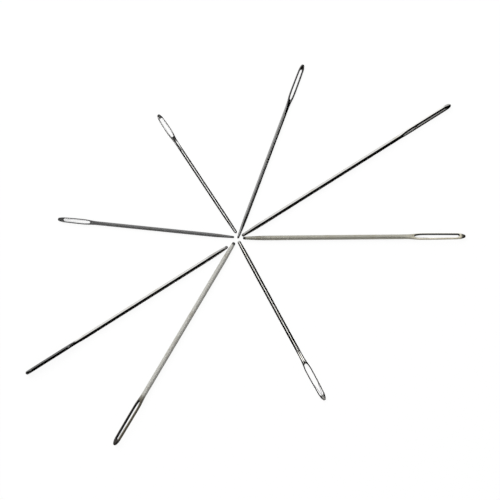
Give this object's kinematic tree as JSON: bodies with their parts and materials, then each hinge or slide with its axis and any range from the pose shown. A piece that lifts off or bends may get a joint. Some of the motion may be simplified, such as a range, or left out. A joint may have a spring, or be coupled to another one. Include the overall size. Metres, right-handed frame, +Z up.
{
  "type": "yarn needle set",
  "caption": "Blunt steel yarn needles laid out as a star, tips together: round wire shafts, rounded points, and long pressed eyes with thread grooves and rounded crowns.",
  "frame": {"origin": "under the middle of the set's bounding box, on the plane the needles lie on", "axes": "+X is the picture's right, +Y the picture's up, +Z up from the table; the needles lie in the XY plane with their tips together near the middle"},
  "size_m": [0.1278, 0.1106, 0.0021],
  "materials": {
    "polished_steel": "polished nickel-plated steel"
  },
  "bodies": {
    "needle_1_oclock": {"needle_1_oclock": "polished_steel"},
    "needle_2_oclock": {"needle_2_oclock": "polished_steel"},
    "needle_3_oclock": {"needle_3_oclock": "polished_steel"},
    "needle_5_oclock": {"needle_5_oclock": "polished_steel"},
    "needle_7_oclock": {"needle_7_oclock": "polished_steel"},
    "needle_8_oclock": {"needle_8_oclock": "polished_steel"},
    "needle_9_oclock": {"needle_9_oclock": "polished_steel"},
    "needle_11_oclock": {"needle_11_oclock": "polished_steel"}
  },
  "joints": [
    {"name": "lift_needle_1_oclock", "type": "slide", "parent": "needle_5_oclock", "child": "needle_1_oclock", "axis": [0, 0, 1], "range_m": [0, 0.05]},
    {"name": "lift_needle_2_oclock", "type": "slide", "parent": "needle_5_oclock", "child": "needle_2_oclock", "axis": [0, 0, 1], "range_m": [0, 0.05]},
    {"name": "lift_needle_3_oclock", "type": "slide", "parent": "needle_5_oclock", "child": "needle_3_oclock", "axis": [0, 0, 1], "range_m": [0, 0.05]},
    {"name": "lift_needle_7_oclock", "type": "slide", "parent": "needle_5_oclock", "child": "needle_7_oclock", "axis": [0, 0, 1], "range_m": [0, 0.05]},
    {"name": "lift_needle_8_oclock", "type": "slide", "parent": "needle_5_oclock", "child": "needle_8_oclock", "axis": [0, 0, 1], "range_m": [0, 0.05]},
    {"name": "lift_needle_9_oclock", "type": "slide", "parent": "needle_5_oclock", "child": "needle_9_oclock", "axis": [0, 0, 1], "range_m": [0, 0.05]},
    {"name": "lift_needle_11_oclock", "type": "slide", "parent": "needle_5_oclock", "child": "needle_11_oclock", "axis": [0, 0, 1], "range_m": [0, 0.05]}
  ]
}
